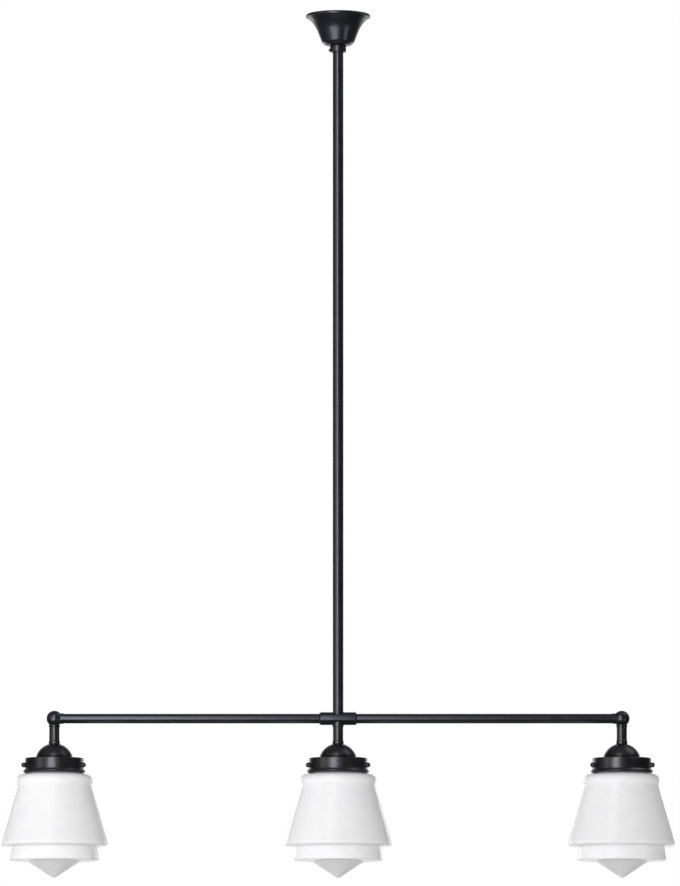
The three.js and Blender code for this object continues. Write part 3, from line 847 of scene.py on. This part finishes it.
class PENDANT_OT_domes(Operator):
    """The three dome caps over the lampholders"""

    bl_idname = "pendant.domes"
    bl_label = "Dome caps"

    def execute(self, context):
        s = context.scene.pendant_sizes
        base, bead, bore = in_mm(s.dome_base, s.bead_radius, s.bore_radius)
        dome, wall, steps = 29.0, 1.4, 14
        flat = bead + 0.3
        # The dome stops short of its full base by this angle, in radians.
        short = 0.03
        for place in PLACES:
            node = f"dome_cap_{place}"
            _, top = ends_of(node)
            centre = top - math.sqrt(dome**2 - flat**2)
            shells = []
            for radius in (dome, dome - wall):
                start = math.asin(flat / radius)
                end = math.asin((base - dome + radius) / radius) - short
                arc = []
                for step in range(steps + 1):
                    angle = start + (end - start) * step / steps
                    arc.append(
                        (radius * math.sin(angle), centre + radius * math.cos(angle))
                    )
                shells.append(arc)
            outside, inside = shells
            bm = turned([(bore, top), *outside, *inside[::-1], (bore, top - wall)], 64)
            moved(bm, shift(middle_of(node).x))
            make_piece(f"dome_{place}", bm, "fitter_enamel", node)
        return {"FINISHED"}


class PENDANT_OT_galleries(Operator):
    """The three galleries: raised seat, flat top and a flared bead round the mouth"""

    bl_idname = "pendant.galleries"
    bl_label = "Galleries"

    def execute(self, context):
        s = context.scene.pendant_sizes
        outer, bead, bore = in_mm(s.gallery_radius, s.gallery_bead, s.bore_radius)
        seat, rise, wall = 27.0, 1.5, 1.4
        for place in PLACES:
            node = f"gallery_{place}"
            bottom, top = ends_of(node)
            bm = turned(
                [
                    (bore, top),
                    (seat, top, 0.5),
                    (seat, top - rise, 0.4),
                    (outer, top - rise, 1.5),
                    (outer, bottom + 6.2, 0.8),
                    (bead, bottom + 2.4, 1.2),
                    (outer - 0.4, bottom, 0.4),
                    (outer - wall, bottom + 6.2, 1.5),
                    (outer - wall, top - rise - wall, 0.6),
                    (seat - wall, top - rise - wall, 0.3),
                    (seat - wall, top - wall, 0.3),
                    (bore, top - wall),
                ],
                96,
            )
            moved(bm, shift(middle_of(node).x))
            make_piece(f"gallery_cup_{place}", bm, "fitter_enamel", node)
        return {"FINISHED"}


class PENDANT_OT_thumb_screws(Operator):
    """The nine thumb screws that hold the glass"""

    bl_idname = "pendant.thumb_screws"
    bl_label = "Thumb screws"

    def execute(self, context):
        s = context.scene.pendant_sizes
        head, neck, gallery = in_mm(s.screw_radius, s.neck_radius, s.gallery_radius)
        shank, collar = 2.0, 2.8
        tip, stop = neck + FIT, gallery + 1.2
        for place in PLACES:
            centre = middle_of(f"gallery_{place}").x
            for number, angle in enumerate(SCREW_ANGLES, 1):
                node = f"thumb_screw_{place}_{number}"
                bm = turned(
                    [
                        (0, tip),
                        (shank, tip, 0.4),
                        (shank, stop),
                        (collar, stop, 0.3),
                        (collar, stop + 1.8),
                        (head, stop + 1.8, 0.5),
                        (head, stop + 9.8, 3.1),
                        (0, stop + 9.8),
                    ],
                    32,
                )
                moved(
                    bm,
                    turn("Y", 90),
                    turn("Z", angle),
                    shift(centre, 0, middle_of(node).z),
                )
                make_piece(f"screw_{place}_{number}", bm, "fitter_enamel", node)
        return {"FINISHED"}


class PENDANT_OT_glass_shades(Operator):
    """The three glass shades: neck, rolled shoulder, cone, step, drum and point"""

    bl_idname = "pendant.glass_shades"
    bl_label = "Glass shades"

    def execute(self, context):
        s = context.scene.pendant_sizes
        lip, neck, shoulder, cone, drum, point, wall = in_mm(
            s.lip_radius,
            s.neck_radius,
            s.shoulder_radius,
            s.cone_radius,
            s.drum_radius,
            s.point_radius,
            s.glass_wall,
        )
        # How far below the ledge the roll ends, the cone starts and ends, the drum ends
        # and the point ends
        roll, cone_top, cone_foot, drum_foot, tip = 12.5, 16.8, 107.6, 129.5, 154.85
        lip_depth, tip_radius = 3.7, 2.07
        for place in PLACES:
            node = f"glass_shade_{place}"
            _, top = ends_of(node)
            # The ledge lies a little below the gallery's mouth.
            ledge = ends_of(f"gallery_{place}")[0] - 1.5
            bm = turned(
                [
                    (neck - wall, top),
                    (lip, top, 1.2),
                    (lip, top - lip_depth, 0.8),
                    (neck, top - lip_depth, 1.2),
                    (neck, ledge, 2.5),
                    (shoulder, ledge, 10),
                    (shoulder, ledge - roll, 3),
                    (shoulder - 2, ledge - cone_top, 4),
                    (cone, ledge - cone_foot, 5),
                    (drum - 3.2, ledge - cone_foot - 0.5, 1.5),
                    (drum, ledge - drum_foot, 3),
                    (point, ledge - drum_foot - 0.5, 2),
                    (tip_radius, ledge - tip, 7),
                    (0, ledge - tip),
                    (0, ledge - 152.4),
                    (point - 1, ledge - 126.8, 5),
                    (drum - 3.7, ledge - 126.3),
                    (drum - 6.9, ledge - 105.0, 4.7),
                    (cone - 4.2, ledge - 104.5, 1.8),
                    (shoulder - 5.4, ledge - 16.5, 7),
                    (shoulder - 3.2, ledge - 11.8),
                    (shoulder - 3.2, ledge - 3.2, 6.8),
                    (neck - wall, ledge - 3.2, 5.7),
                ],
                128,
            )
            moved(bm, shift(middle_of(node).x))
            make_piece(f"shade_{place}", bm, "opal_glass", node)
        return {"FINISHED"}


class PENDANT_OT_lampholders(Operator):
    """The three lampholders: cap, body and screw shell"""

    bl_idname = "pendant.lampholders"
    bl_label = "Lampholders"

    def execute(self, context):
        bore = context.scene.pendant_sizes.bore_radius / MM
        for place in PLACES:
            centre = middle_of(f"glass_shade_{place}").x
            bottom, top = ends_of(f"holder_cap_{place}")
            cap = turned(
                [
                    (bore, top),
                    (8.0, top, 0.8),
                    (8.0, top - 7.0, 1.0),
                    (20.0, top - 13.0, 3.0),
                    (20.0, bottom, 0.4),
                    (18.0, bottom),
                    (18.0, top - 14.2, 1.5),
                    (6.0, top - 8.2),
                    (6.0, top - 2.0),
                    (bore, top - 2.0),
                ]
            )
            moved(cap, shift(centre))
            make_piece(
                f"holder_top_{place}", cap, "black_plastic", f"holder_cap_{place}"
            )
            bottom, top = ends_of(f"holder_body_{place}")
            body = turned(
                [
                    (3.0, top),
                    (17.7, top, 0.4),
                    (17.7, top - 5.0),
                    (20.0, top - 5.0, 0.4),
                    (20.0, bottom, 1.2),
                    (14.7, bottom, 0.6),
                    (14.7, top - 2.5),
                    (3.0, top - 2.5),
                ]
            )
            moved(body, shift(centre))
            make_piece(
                f"holder_skirt_{place}", body, "black_plastic", f"holder_body_{place}"
            )
            bottom, top = ends_of(f"screw_shell_{place}")
            shell = turned(
                [
                    (5.0, top),
                    (14.4, top, 0.9),
                    (14.4, bottom, 0.3),
                    (13.7, bottom, 0.3),
                    (13.7, top - 0.7, 0.3),
                    (5.0, top - 0.7),
                ]
            )
            moved(shell, shift(centre))
            make_piece(f"shell_{place}", shell, "shell_brass", f"screw_shell_{place}")
        return {"FINISHED"}


class PENDANT_OT_lamps(Operator):
    """The three lamps: threaded cap and frosted glass"""

    bl_idname = "pendant.lamps"
    bl_label = "Lamps"

    def execute(self, context):
        pitch = 3.6
        for place in PLACES:
            centre = middle_of(f"glass_shade_{place}").x
            bottom, top = ends_of(f"lamp_cap_{place}")
            thread = []
            for ridge in range(4):
                height = top - 5.6 - pitch * ridge
                thread += [(13.3, height, 0.5), (12.5, height - pitch / 2, 0.5)]
            cap = turned(
                [
                    (0, top),
                    (3.8, top, 0.8),
                    (3.8, top - 1.4),
                    (10.0, top - 3.0, 1.0),
                    (12.6, top - 4.2, 0.5),
                    *thread,
                    (13.3, bottom + 4.0, 0.6),
                    (12.4, bottom),
                    (0, bottom),
                ]
            )
            moved(cap, shift(centre))
            make_piece(f"cap_{place}", cap, "lamp_aluminium", f"lamp_cap_{place}")
            bottom, top = ends_of(f"lamp_bulb_{place}")
            bulb = turned(
                [
                    (12.4, top),
                    (12.4, top - 8.0, 15),
                    (30.0, top - 40.0, 20),
                    (30.0, bottom, 28.8),
                    (0, bottom),
                    (0, bottom + 1.2),
                    (28.8, bottom + 1.2, 27.6),
                    (28.8, top - 40.3, 18.8),
                    (11.2, top - 8.3, 16.2),
                    (11.2, top),
                ],
                64,
            )
            moved(bulb, shift(centre))
            make_piece(f"bulb_{place}", bulb, "lamp_glass", f"lamp_bulb_{place}")
        return {"FINISHED"}


class PENDANT_OT_ceiling_fixing(Operator):
    """Hook, hanging link and loop nipple, and the ceiling plate and terminal block"""

    bl_idname = "pendant.ceiling_fixing"
    bl_label = "Ceiling fixing"

    def execute(self, context):
        self.make_hook()
        self.make_link()
        self.make_loop()
        dress_node("ceiling_plate", "zinc_steel")
        dress_node("terminal_block", "cream_plastic")
        return {"FINISHED"}

    def make_hook(self):
        """A foot under the plate, and a wire round a bowl that is open at one side."""
        _, top = ends_of("ceiling_hook")
        sole = top - 1.6
        foot = turned([(0, top), (6, top, 0.4), (6, sole, 0.4), (0, sole)])
        bowl, radius = sole - 9.1, 6.5
        points = [(0, 0, top - 0.8), (0, 0, top - 3.0)]
        for step in range(16):
            angle = math.radians(130 + 240 * step / 15)
            points.append(
                (radius * math.cos(angle), 0, bowl + radius * math.sin(angle))
            )
        bm = add_to(foot, bent_wire(points, 2.0))
        make_piece("hook", bm, "zinc_steel", "ceiling_hook")

    def make_link(self):
        """A wire ring whose upper and lower halves are drawn apart."""
        middle = middle_of("hanging_link").z
        radius, apart = 5.25, 1.3
        points = []
        for step in range(16):
            angle = math.tau * (step + 0.5) / 16
            height = radius * math.sin(angle)
            height += math.copysign(apart, height)
            points.append((0, radius * math.cos(angle), middle + height))
        bm = bent_wire(points, 1.75, closed=True)
        make_piece("link", bm, "zinc_steel", "hanging_link")

    def make_loop(self):
        """An eye on a neck, screwed into the rod's top."""
        bottom, top = ends_of("loop_nipple")
        eye, radius = top - 8.0, 6
        points = []
        for step in range(16):
            angle = math.tau * step / 16
            points.append((radius * math.cos(angle), 0, eye + radius * math.sin(angle)))
        neck = turned(
            [
                (0, eye - 6.0),
                (2.5, eye - 6.0, 0.5),
                (6.0, eye - 7.5, 0.8),
                (6.0, eye - 15.5, 0.4),
                (7.2, eye - 15.5, 0.4),
                (7.2, eye - 17.5, 0.4),
                (5.0, eye - 17.5),
                (5.0, bottom, 0.5),
                (3.2, bottom),
                (3.2, eye - 11.5),
                (0, eye - 11.5),
            ]
        )
        bm = add_to(neck, bent_wire(points, 2.0, closed=True))
        make_piece("loop", bm, "zinc_steel", "loop_nipple")


class PENDANT_OT_nipples(Operator):
    """The finish of the hidden nipples and lock nuts"""

    bl_idname = "pendant.nipples"
    bl_label = "Nipples and nuts"

    def execute(self, context):
        dress_node("rod_nipple", "zinc_steel")
        for place in SIDES:
            dress_node(f"ball_nipple_{place}", "zinc_steel")
        for place in PLACES:
            dress_node(f"stem_nipple_{place}", "zinc_steel")
            dress_node(f"lock_nut_{place}", "zinc_steel")
        return {"FINISHED"}


class PENDANT_OT_stage(Operator):
    """Pale floor, white surroundings, softboxes and the camera"""

    bl_idname = "pendant.stage"
    bl_label = "Stage"

    def execute(self, context):
        self.make_floor(context)
        self.make_world(context)
        for softbox in SOFTBOXES:
            self.make_softbox(context, *softbox)
        self.make_camera(context)
        return {"FINISHED"}

    def make_floor(self, context):
        """A pale floor, as far down as in a room, that shows the pendant's shadow.

        It is seen from above only, so that it doesn't hide the pendant from below.
        """
        bm = bmesh.new()
        bmesh.ops.create_grid(bm, x_segments=1, y_segments=1, size=1.0)
        bmesh.ops.translate(bm, vec=(0, 0, -FLOOR_DEPTH), verts=bm.verts[:])
        mesh = bpy.data.meshes.new("Floor")
        bm.to_mesh(mesh)
        bm.free()
        floor = bpy.data.objects.new("Floor", mesh)
        context.scene.collection.objects.link(floor)
        material, tree, place = new_material("Pale painted floor")
        # Paint rolled on: the roller leaves soft spots about 30 mm wide.
        spots = add(
            tree,
            "ShaderNodeTexNoise",
            {"Vector": place, "Scale": per(30), "Detail": 3.0},
        )
        tone = add(
            tree,
            "ShaderNodeMix",
            {0: spots.outputs["Fac"], 6: tint("#bdbab6"), 7: tint("#c4c1bd")},
            data_type="RGBA",
        )
        paint = add(
            tree, "ShaderNodeBsdfDiffuse", {"Color": tone.outputs[2], "Roughness": 0.5}
        )
        # Where it is looked at, the floor goes over into the white backdrop.
        path = add(tree, "ShaderNodeLightPath")
        looked = add(
            tree,
            "ShaderNodeMath",
            {0: path.outputs["Is Camera Ray"], 1: path.outputs["Is Transmission Ray"]},
            operation="MAXIMUM",
        )
        pale = add(
            tree,
            "ShaderNodeMapRange",
            {"Value": looked.outputs[0], "To Max": FLOOR_GLOW},
        )
        glow = add(
            tree,
            "ShaderNodeEmission",
            {"Color": tint("#ffffff"), "Strength": pale.outputs["Result"]},
        )
        both = add(
            tree, "ShaderNodeAddShader", {0: paint.outputs[0], 1: glow.outputs[0]}
        )
        one_sided = add(
            tree,
            "ShaderNodeMixShader",
            {
                0: add(tree, "ShaderNodeNewGeometry").outputs["Backfacing"],
                1: both.outputs[0],
                2: add(tree, "ShaderNodeBsdfTransparent").outputs[0],
            },
        )
        add(tree, "ShaderNodeOutputMaterial", {"Surface": one_sided.outputs[0]})
        mesh.materials.append(material)

    def make_world(self, context):
        """The studio: white all round to the camera, a dark room in reflections.

        Reflections also show the white backdrop behind the pendant and the grey
        ceiling. As light, the room is brightest at eye level.
        """
        world = bpy.data.worlds.new("Studio")
        context.scene.world = world
        world.use_nodes = True
        tree = world.node_tree
        tree.nodes.clear()
        path = add(tree, "ShaderNodeLightPath")
        seen = path.outputs["Is Camera Ray"]
        for ray in ("Is Glossy Ray", "Is Transmission Ray"):
            seen = add(
                tree,
                "ShaderNodeMath",
                {0: seen, 1: path.outputs[ray]},
                operation="MAXIMUM",
            ).outputs[0]
        way = add(
            tree,
            "ShaderNodeSeparateXYZ",
            {0: add(tree, "ShaderNodeTexCoord").outputs["Generated"]},
        )
        # The backdrop stands behind the pendant, and the ceiling is grey. The rest of
        # the room is dark. As light, the room is brightest at eye level.
        ranges = []
        for value, start, end, least, most in (
            (way.outputs["Y"], 0.7, 0.98, DARK_ROOM, 1.0),
            (way.outputs["Z"], 0.5, 0.8, DARK_ROOM, GREY_CEILING),
            (way.outputs["Z"], -0.4, 0.0, UNDERNEATH, EYE_LEVEL),
            (way.outputs["Z"], 0.0, 0.2, EYE_LEVEL, OVERHEAD),
        ):
            span = add(
                tree,
                "ShaderNodeMapRange",
                {
                    "Value": value,
                    "From Min": start,
                    "From Max": end,
                    "To Min": least,
                    "To Max": most,
                },
            )
            ranges.append(span.outputs["Result"])
        behind, above, under, over = ranges
        white = behind
        for other in (above, path.outputs["Is Camera Ray"]):
            white = add(
                tree, "ShaderNodeMath", {0: white, 1: other}, operation="MAXIMUM"
            ).outputs[0]
        level = add(
            tree, "ShaderNodeMath", {0: under, 1: over}, operation="MINIMUM"
        )
        # The side walls are the palest, the left one above all.
        slant = add(
            tree,
            "ShaderNodeMath",
            {0: way.outputs["X"], 1: 0.7, 2: -0.15},
            operation="MULTIPLY_ADD",
        )
        walls = add(
            tree,
            "ShaderNodeMath",
            {0: way.outputs["X"], 1: slant.outputs[0], 2: 1.0},
            operation="MULTIPLY_ADD",
        )
        strength = add(
            tree,
            "ShaderNodeMath",
            {0: level.outputs[0], 1: walls.outputs[0]},
            operation="MULTIPLY",
        )
        light, backdrop = (
            add(tree, "ShaderNodeBackground", {"Color": tint("#ffffff"), "Strength": s})
            for s in (strength.outputs[0], white)
        )
        mixed = add(
            tree,
            "ShaderNodeMixShader",
            {0: seen, 1: light.outputs[0], 2: backdrop.outputs[0]},
        )
        add(tree, "ShaderNodeOutputWorld", {"Surface": mixed.outputs[0]})

    def make_softbox(
        self, context, name, target, azimuth, elevation, distance, size, power
    ):
        """A soft rectangular lamp aimed at the target."""
        around, up = math.radians(azimuth), math.radians(elevation)
        way = Vector(
            (
                math.sin(around) * math.cos(up),
                -math.cos(around) * math.cos(up),
                math.sin(up),
            )
        )
        lamp = bpy.data.lights.new(name, "AREA")
        lamp.shape = "RECTANGLE"
        lamp.size, lamp.size_y = size
        lamp.energy = power
        box = bpy.data.objects.new(name, lamp)
        box.location = target + way * distance
        box.rotation_euler = (-way).to_track_quat("-Z", "Y").to_euler()
        context.scene.collection.objects.link(box)

    def make_camera(self, context):
        """The camera at the photograph's angle."""
        lens = bpy.data.cameras.new("Camera")
        lens.sensor_width = 36
        lens.lens = FOCAL_PIXELS / max(FRAME_WIDTH, FRAME_HEIGHT) * lens.sensor_width
        lens.clip_end = 100
        camera = bpy.data.objects.new("Camera", lens)
        camera.location = CAMERA_PLACE
        camera.rotation_euler = (math.radians(90 + CAMERA_PITCH), 0, 0)
        context.scene.collection.objects.link(camera)
        context.scene.camera = camera
        context.scene.view_settings.view_transform = "Standard"


# The steps in the order in which the pendant is built
STEPS = (
    PENDANT_OT_ceiling_fixing,
    PENDANT_OT_canopy,
    PENDANT_OT_collar,
    PENDANT_OT_downrod,
    PENDANT_OT_coupler,
    PENDANT_OT_crossbars,
    PENDANT_OT_end_balls,
    PENDANT_OT_stems,
    PENDANT_OT_domes,
    PENDANT_OT_galleries,
    PENDANT_OT_thumb_screws,
    PENDANT_OT_glass_shades,
    PENDANT_OT_lampholders,
    PENDANT_OT_lamps,
    PENDANT_OT_nipples,
    PENDANT_OT_stage,
)


class PENDANT_PT_panel(Panel):
    """The pendant's steps, sizes and colours in the sidebar"""

    bl_idname = "PENDANT_PT_panel"
    bl_label = "Island Pendant"
    bl_space_type = "VIEW_3D"
    bl_region_type = "UI"
    bl_category = "Pendant"

    def draw(self, context):
        layout = self.layout
        for step in STEPS:
            layout.operator(step.bl_idname)
        for group in (context.scene.pendant_sizes, context.scene.pendant_finishes):
            box = layout.box()
            for name in group.bl_rna.properties.keys():
                if name not in {"rna_type", "name"}:
                    box.prop(group, name)


CLASSES = (PENDANT_PG_sizes, PENDANT_PG_finishes, *STEPS, PENDANT_PT_panel)


def register():
    for cls in CLASSES:
        bpy.utils.register_class(cls)
    bpy.types.Scene.pendant_sizes = PointerProperty(type=PENDANT_PG_sizes)
    bpy.types.Scene.pendant_finishes = PointerProperty(type=PENDANT_PG_finishes)


def unregister():
    del bpy.types.Scene.pendant_finishes
    del bpy.types.Scene.pendant_sizes
    for cls in reversed(CLASSES):
        bpy.utils.unregister_class(cls)


def main():
    register()
    for step in STEPS:
        group, name = step.bl_idname.split(".")
        getattr(getattr(bpy.ops, group), name)()


if __name__ == "__main__":
    main()
